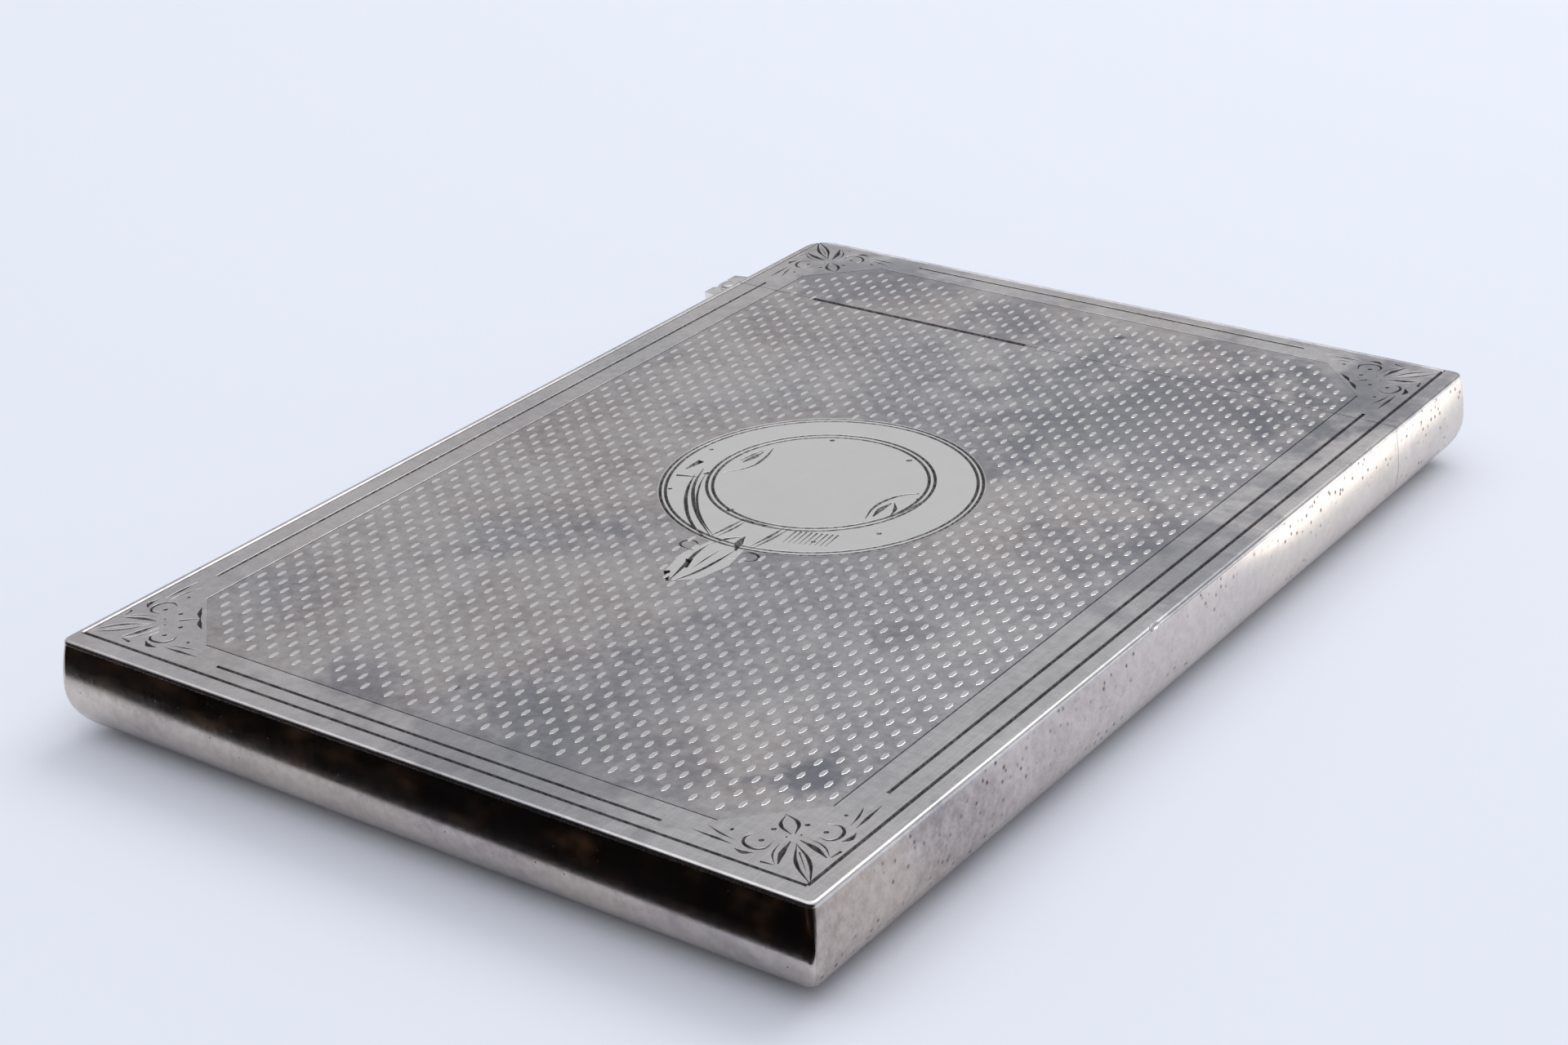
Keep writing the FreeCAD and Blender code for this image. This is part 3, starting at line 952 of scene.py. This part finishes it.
def silver(name, tarnish, rough, stains, pits=0.0, engraved=False, warm_and_shaded=False):
    """Silver with clouded tarnish and rubbing, pitted or engraved where asked."""
    look = settings()
    tree, shader, place = start_material(name)
    cloud = use_group(tree, "Tarnish", place, Amount=tarnish)
    rub = use_group(tree, "Rubbing", place)
    mask = cloud["Mask"]
    stained = times(tree, cloud["Stains"], stains)
    clean, first, second = look.silver_colour, look.tarnish_colour, look.cool_colour
    # On the drawn walls the silver and its tarnish are tinted warm, and the tarnish deepens towards
    # the near end: partly real brown tarnish, partly painted shade and a painted warm reflection of
    # the shadowed floor.
    if warm_and_shaded:
        clean, first, second = look.wall_silver_and_warm_reflection, look.brown_tarnish_and_shade, look.tarnish_colour
        along = node(tree, "ShaderNodeSeparateXYZ", Vector=place).outputs["Y"]
        mask = times(tree, mask, ramp(tree, along, -FACE_Y, 0.1 * FACE_Y, 1.35, 0.7))
    if engraved:
        centre = garter_centre()
        floor = depth_mask(tree, place, *FLOOR_DEPTH)
        strap = beyond(tree, place, centre, look.garter_radius)
        tongue = beyond(tree, place, centre + Vector((0, -TONGUE_REACH)), TONGUE_KEPT)
        keep = times(tree, strap, math_node(tree, "MAXIMUM", tongue, floor))
        mask = times(tree, mask, keep, ramp(tree, floor, 0, 1, 1.0, FLOOR_TARNISH))
        stained = times(tree, stained, keep)
    old = blend_colours(tree, cloud["Cool"], first, second)
    colour = blend_colours(tree, mask, clean, old)
    colour = blend_colours(tree, stained, colour, look.stain_colour)
    roughness = plus(tree, rough, times(tree, mask, 0.12), times(tree, rub["Mask"], 0.05))
    height = rub["Height"]
    if pits:
        hole = use_group(tree, "Pits", place, Size=pits)["Mask"]
        colour = blend_colours(tree, times(tree, hole, 0.85), colour, look.oxide_colour)
        height = math_node(tree, "SUBTRACT", height, times(tree, hole, 2.0))
        roughness = plus(tree, roughness, times(tree, hole, 0.3))
    if engraved:
        for x, y, radius, strength in FRONT_STAINS:
            spot = {"Centre": (x * MM, y * MM, FACE_Z), "Radius": radius * MM}
            there = use_group(tree, "Round Stain", place, **spot)["Mask"]
            there = times(tree, there, strength, keep)
            colour = blend_colours(tree, there, colour, look.stain_colour)
        on_strap = ramp(tree, strap, KEPT_CLEAN, 1, 0.9, 0.0)
        shallow = times(tree, depth_mask(tree, place, *SHALLOW_DEPTH), on_strap)
        cut = math_node(tree, "MAXIMUM", depth_mask(tree, place, *CUT_DEPTH), shallow)
        uneven = ramp(tree, noise(tree, place, 2400.0, 2.0), 0.35, 0.65, 0.82, 1.0)
        dark = times(tree, cut, uneven, 0.95)
        colour = blend_colours(tree, dark, colour, look.oxide_colour)
        roughness = plus(tree, roughness, times(tree, dark, 0.25))
    relief = node(tree, "ShaderNodeBump", Strength=0.14, Distance=0.01 * MM, Height=height)
    normal = relief.outputs["Normal"]
    feed(tree, shader, Base_Color=colour, Roughness=roughness, Metallic=1.0, Normal=normal)


def make_finishes():
    """Build the shared groups and every finish once."""
    for build in (tarnish_group, pits_group, rubbing_group, depth_group, stain_group):
        build()
    silver("face_finish", 0.64, 0.19, 0.35, engraved=True)
    silver("grain_finish", 0.05, 0.13, 0.2)
    silver("side_finish", 0.76, 0.17, 0.15, pits=0.34, warm_and_shaded=True)
    silver("end_finish", 0.6, 0.06, 0.2, pits=0.12, warm_and_shaded=True)
    silver("back_finish", 0.62, 0.24, 0.3, pits=0.14)
    silver("collar_finish", 0.25, 0.16, 0.1)
    silver("hinge_finish", 0.3, 0.2, 0.1)
    silver("pin_finish", 0.7, 0.3, 0.2)


# ---- settings


def length(name, millimetres, description):
    return FloatProperty(
        name=name, description=description, default=millimetres * MM, unit="LENGTH", precision=5
    )


def length_pair(name, first, second, description):
    return FloatVectorProperty(
        name=name, description=description, default=(first * MM, second * MM), size=2,
        unit="LENGTH", precision=5
    )


def angle(name, degrees, description):
    return FloatProperty(
        name=name, description=description, default=math.radians(degrees), subtype="ANGLE"
    )


def tint(name, colour, description):
    return FloatVectorProperty(
        name=name, description=description, default=colour, subtype="COLOR", min=0, max=2
    )


class CardCaseSettings(bpy.types.PropertyGroup):
    """Sizes of the engraving and colours of the metal."""

    pattern_shift: length_pair("Pattern shift", -0.5, 0.65, "Engraving off the face's centre")
    outer_frame: length_pair("Outer frame", 33.9, 50.2, "Half size of the outer framing line")
    inner_frame: length_pair("Inner frame", 31.95, 48.75, "Half size of the inner framing line")
    field_half: length_pair("Field", 29.75, 46.7, "Half size of the engine-turned field")
    field_chamfer: length("Field corner", 5.6, "How much of the field's corners is left plain")
    spray_reach: length("Spray reach", 11.0, "How far the corner sprays interrupt the inner frame")
    groove_width: length("Line width", 0.36, "Width of a framing line")
    field_line: length("Field line", 0.18, "Width of the fine line round the field")
    turning_depth: length("Turning depth", 0.02, "Depth of the engine turning")
    grain_pitch: length_pair("Grain pitch", 1.16, 1.05, "Half the spacing of the grains")
    grain_drop: length("Grain drop", 0.011, "How far the grains stay below the border")
    grain_land: length_pair("Grain land", 0.15, 0.48, "Half size of a grain's flat top")
    grain_foot: length_pair("Grain foot", 0.2, 0.56, "Half size of a grain's foot")
    grain_lean: length("Grain lean", 0.01, "How far a grain's far end leans to the left")
    garter_shift: length_pair("Garter shift", -0.4, 1.5, "Round panel off the pattern's centre")
    garter_radius: length("Garter radius", 13.7, "Outside of the buckled strap")
    ring_width: length("Ring width", 0.3, "Width of the lines round the strap")
    panel_radius: length("Panel radius", 9.6, "Plain panel inside the strap")
    gap_span: length_pair("Worn gap", -26.0, -2.0, "Where the parting line has opened")
    gap_width: length("Gap width", 0.6, "Width of the worn gap at the surface")
    worn_corner: length("Worn corner", 2.2, "Rounding of the lid's corner by the hinge")
    nick_place: length_pair("Nick", 35.0, -5.9, "Where the rim is nicked")
    nick_radius: length("Nick radius", 0.9, "Half length of the nick in the rim")
    corner_round: length("Corner round", 0.7, "Rounding of the upright corners")
    edge_round: length("Edge round", 0.3, "Worn rounding of the front's edges")
    hinge_clearance: length("Hinge clearance", 0.1, "Knuckles to the notched wall")
    edge_lean: length("Edge lean", 0.08, "Lean of the front plate's own edge")
    grid_step: length("Grid step", 6.0, "Spacing of the sheet's construction lines")
    wall_steps: IntProperty(name="Wall steps", description="Levels of the upper wall", default=5)
    round_steps: IntProperty(name="Round steps", description="Levels of the back round", default=12)
    silver_colour: tint("Silver", (0.96, 0.94, 0.91), "Clean polished silver")
    # Partly a painted reflection: the warm tint stands in for the warm, shadowed floor that the walls
    # reflect.
    wall_silver_and_warm_reflection: tint("Warm silver", (0.9, 0.84, 0.78), "Cleaner silver on the drawn walls")
    tarnish_colour: tint("Tarnish", (0.3, 0.255, 0.255), "Clouded tarnish")
    cool_colour: tint("Cool tarnish", (0.265, 0.255, 0.275), "Tarnish where it has a blue cast")
    # Partly painted shade: the brown also stands in for the warm, shadowed floor that the walls
    # reflect.
    brown_tarnish_and_shade: tint("Brown tarnish", (0.37, 0.3, 0.25), "Tarnish on the drawn walls")
    stain_colour: tint("Stain", (0.11, 0.125, 0.17), "Bluish tarnish spots")
    oxide_colour: tint("Oxide", (0.035, 0.03, 0.03), "Black left in cuts and pits")


class StudioSettings(bpy.types.PropertyGroup):
    """The plain floor, the light and the view."""

    floor_colour: tint("Floor", (0.775, 0.8, 0.862), "Pale sweep under the case")
    sky_low: tint("Light at the horizon", (0.56, 0.57, 0.59), "Colour of the light from the side")
    sky_high: tint("Light higher up", (0.36, 0.37, 0.4), "Colour of the light from half way up")
    sky_top: tint("Light from above", (1.25, 1.27, 1.35), "Colour of the light from overhead")
    view_target: FloatVectorProperty(
        name="View target", description="Where the camera looks",
        default=(0.00072, -0.00564, 0.0085), size=3, subtype="XYZ", unit="LENGTH"
    )
    view_distance: length("View distance", 239.3, "Camera to its target")
    view_turn: angle("View turn", 36.0, "Camera round the case")
    view_height: angle("View height", 25.47, "Camera above the floor")
    view_roll: angle("View roll", -2.16, "Camera tilt")
    lens: FloatProperty(name="Lens", description="Focal length in millimetres", default=67.35)


# ---- operators


class CASE_OT_finishes(bpy.types.Operator):
    """Build the silver finishes"""

    bl_idname = "card_case.finishes"
    bl_label = "Silver Finishes"

    def execute(self, context):
        make_finishes()
        return {"FINISHED"}


class CASE_OT_front(bpy.types.Operator):
    """Engrave the front and part it into the body's plate and the lid's"""

    bl_idname = "card_case.front"
    bl_label = "Engraved Front"

    def execute(self, context):
        body, lid = split_at_parting(engraved_front(), "engraved_front_body", "engraved_front_lid")
        for piece, part in ((body, "body"), (lid, "lid")):
            smooth(piece)
            apply_modifier(piece, "WEIGHTED_NORMAL", keep_sharp=True, weight=100)
            finish_piece(piece, part, "engraved_silver", "face_finish", f"{part}_front_plate")
        return {"FINISHED"}


class CASE_OT_turning(bpy.types.Operator):
    """Fill the sunk field with engine-turned grains"""

    bl_idname = "card_case.turning"
    bl_label = "Engine Turning"

    def execute(self, context):
        body, lid = split_at_parting(barleycorns(), "engine_turning_body", "engine_turning_lid")
        for piece, part in ((body, "body"), (lid, "lid")):
            finish_piece(piece, part, "engraved_silver", "grain_finish")
        return {"FINISHED"}


class CASE_OT_edges(bpy.types.Operator):
    """Draw the wall and part it into mitred edge strips"""

    bl_idname = "card_case.edges"
    bl_label = "Edge Strips"

    def execute(self, context):
        for strip, part, node_name in edge_strips():
            smooth(strip, 40)
            metal = "end_finish" if node_name == "body_end_edge" else "side_finish"
            finish_piece(strip, part, "edge_silver", metal, node_name)
        return {"FINISHED"}


class CASE_OT_back(bpy.types.Operator):
    """Finish the two back plates"""

    bl_idname = "card_case.back"
    bl_label = "Back Plates"

    def execute(self, context):
        for part in ("body", "lid"):
            piece = softened(f"{part}_back_plate", f"{part}_back_sheet", 0.03 * MM)
            finish_piece(piece, part, "back_silver", "back_finish", f"{part}_back_plate")
        return {"FINISHED"}


class CASE_OT_collar(bpy.types.Operator):
    """Ease and polish the four collar strips inside the mouth"""

    bl_idname = "card_case.collar"
    bl_label = "Collar"

    def execute(self, context):
        for side in ("front", "back", "left", "right"):
            piece = softened(f"collar_{side}", f"collar_{side}_strip", 0.06 * MM)
            finish_piece(piece, "body", "collar_silver", "collar_finish", f"collar_{side}")
        return {"FINISHED"}


class CASE_OT_hinge(bpy.types.Operator):
    """Ease the hinge's cheeks, knuckles and pin"""

    bl_idname = "card_case.hinge"
    bl_label = "Hinge"

    def execute(self, context):
        dress = {"hinge_pin": ("pin_wire", "pin_finish")}
        for name, part in (
            ("hinge_leaf_body", "body"),
            ("hinge_leaf_lid", "lid"),
            ("hinge_knuckle_front", "body"),
            ("hinge_knuckle_back", "body"),
            ("hinge_knuckle_lid", "lid"),
            ("hinge_pin", "body"),
        ):
            slot, metal = dress.get(name, ("hinge_silver", "hinge_finish"))
            piece = softened(name, f"{name}_eased", 0.05 * MM)
            finish_piece(piece, part, slot, metal, name)
        return {"FINISHED"}


class CASE_OT_studio(bpy.types.Operator):
    """Set the floor, the light and the camera"""

    bl_idname = "card_case.studio"
    bl_label = "Studio"

    def execute(self, context):
        look = context.scene.card_studio
        self.add_floor(look)
        self.add_sky(look)
        self.add_dark_card()
        self.add_bright_card()
        self.add_key_light()
        self.add_camera(look)
        context.scene.view_settings.view_transform = "Standard"
        return {"FINISHED"}

    def add_floor(self, look):
        only_nothing()
        bpy.ops.mesh.primitive_plane_add(size=6, location=(0, 0, CAD_BOX[0][2]))
        floor = newest("floor")
        tree, shader, place = start_material("floor_paper")
        tone = [component * 0.985 for component in look.floor_colour]
        colour = blend_colours(tree, noise(tree, place, 1400.0), look.floor_colour, tone)
        feed(tree, shader, Base_Color=colour, Roughness=1.0, Specular_IOR_Level=0.0)
        paint(floor, "floor_paper")

    def add_sky(self, look):
        world = bpy.data.worlds.new("sky")
        bpy.context.scene.world = world
        world.use_nodes = True
        tree = world.node_tree
        place = node(tree, "ShaderNodeTexCoord").outputs["Generated"]
        height = node(tree, "ShaderNodeSeparateXYZ", Vector=place).outputs["Z"]
        lower = blend_colours(tree, ramp(tree, height, 0.36, 0.62), look.sky_low, look.sky_high)
        colour = blend_colours(tree, ramp(tree, height, 0.62, 0.8), lower, look.sky_top)
        feed(tree, tree.nodes["Background"], Color=colour, Strength=1.0)

    def add_dark_card(self):
        """A dark card in front of the near end, seen only in the metal."""
        reach = 2 * SEAM_X
        low = (-reach, -SEAM_Y - 7.0 * MM, 0.0)
        high = (reach, -SEAM_Y - 6.5 * MM, DARK_CARD_HEIGHT)
        card = cube("dark_card", low, high)
        edit(card)
        for side, shift in ((-1, -1.2 * MM), (1, 2.5 * MM)):
            pick_verts(card, lambda co: side * co.x > 0)
            bpy.ops.transform.translate(value=(0, shift, 0))
        leave(card)
        tree, shader, place = start_material("dark_cloth")
        weave = ramp(tree, noise(tree, place, 330.0, 4.0, 0.6), 0.5, 0.75)
        cloth = blend_colours(tree, weave, (0.002, 0.001, 0.001), (0.09, 0.05, 0.03))
        feed(tree, shader, Base_Color=cloth, Roughness=1.0, Specular_IOR_Level=0.0)
        self.reflect_only(card, "dark_cloth")

    def add_bright_card(self):
        """A pale card low beside the lid, seen only in the metal."""
        card = cube("bright_card", *BRIGHT_CARD)
        tree, shader, place = start_material("bright_paper")
        glow = blend_colours(tree, noise(tree, place, 60.0, 2.0), (1.0, 0.98, 0.93), (1.0, 0.99, 0.97))
        feed(tree, shader, Base_Color=(0.5, 0.5, 0.5), Emission_Color=glow, Emission_Strength=1.5)
        self.reflect_only(card, "bright_paper")

    def reflect_only(self, card, paper):
        paint(card, paper)
        card.visible_camera = card.visible_diffuse = card.visible_shadow = False

    def add_key_light(self):
        """One broad soft light behind the case, aimed at its middle."""
        only_nothing()
        bpy.ops.object.light_add(type="AREA", location=KEY_PLACE)
        lamp = bpy.context.active_object
        lamp.name = "key"
        lamp.data.shape = "RECTANGLE"
        lamp.data.size, lamp.data.size_y = KEY_SIZE
        lamp.data.energy = KEY_POWER
        lamp.data.color = (1.0, 0.99, 0.98)
        lamp.rotation_euler = (-Vector(KEY_PLACE)).to_track_quat("-Z", "Y").to_euler()

    def add_camera(self, look):
        turn = Euler((math.pi / 2 - look.view_height, 0, look.view_turn)).to_matrix()
        aim = turn @ Vector((0, 0, -1))
        roll = Euler((0, 0, look.view_roll)).to_matrix()
        only_nothing()
        bpy.ops.object.camera_add(location=Vector(look.view_target) - aim * look.view_distance)
        camera = bpy.context.active_object
        camera.rotation_euler = (turn @ roll).to_euler()
        camera.data.lens = look.lens
        camera.data.sensor_width = 36
        camera.data.clip_start = 0.005
        bpy.context.scene.camera = camera


class CASE_PT_panel(bpy.types.Panel):
    """Lists the case's settings and its building steps"""

    bl_label = "Engraved Card Case"
    bl_idname = "CASE_PT_panel"
    bl_space_type = "VIEW_3D"
    bl_region_type = "UI"
    bl_category = "Card Case"

    def draw(self, context):
        for group_settings in (context.scene.card_case, context.scene.card_studio):
            column = self.layout.column()
            for name in group_settings.__annotations__:
                column.prop(group_settings, name)
        for step in STEPS:
            self.layout.operator(step.bl_idname)


STEPS = (
    CASE_OT_finishes,
    CASE_OT_front,
    CASE_OT_turning,
    CASE_OT_edges,
    CASE_OT_back,
    CASE_OT_collar,
    CASE_OT_hinge,
    CASE_OT_studio,
)
CLASSES = (CardCaseSettings, StudioSettings, *STEPS, CASE_PT_panel)


def register():
    for item in CLASSES:
        bpy.utils.register_class(item)
    bpy.types.Scene.card_case = PointerProperty(type=CardCaseSettings)
    bpy.types.Scene.card_studio = PointerProperty(type=StudioSettings)


def unregister():
    del bpy.types.Scene.card_studio
    del bpy.types.Scene.card_case
    for item in reversed(CLASSES):
        bpy.utils.unregister_class(item)


def main():
    register()
    bpy.ops.card_case.finishes()
    bpy.ops.card_case.front()
    bpy.ops.card_case.turning()
    bpy.ops.card_case.edges()
    bpy.ops.card_case.back()
    bpy.ops.card_case.collar()
    bpy.ops.card_case.hinge()
    bpy.ops.card_case.studio()


if __name__ == "__main__":
    main()
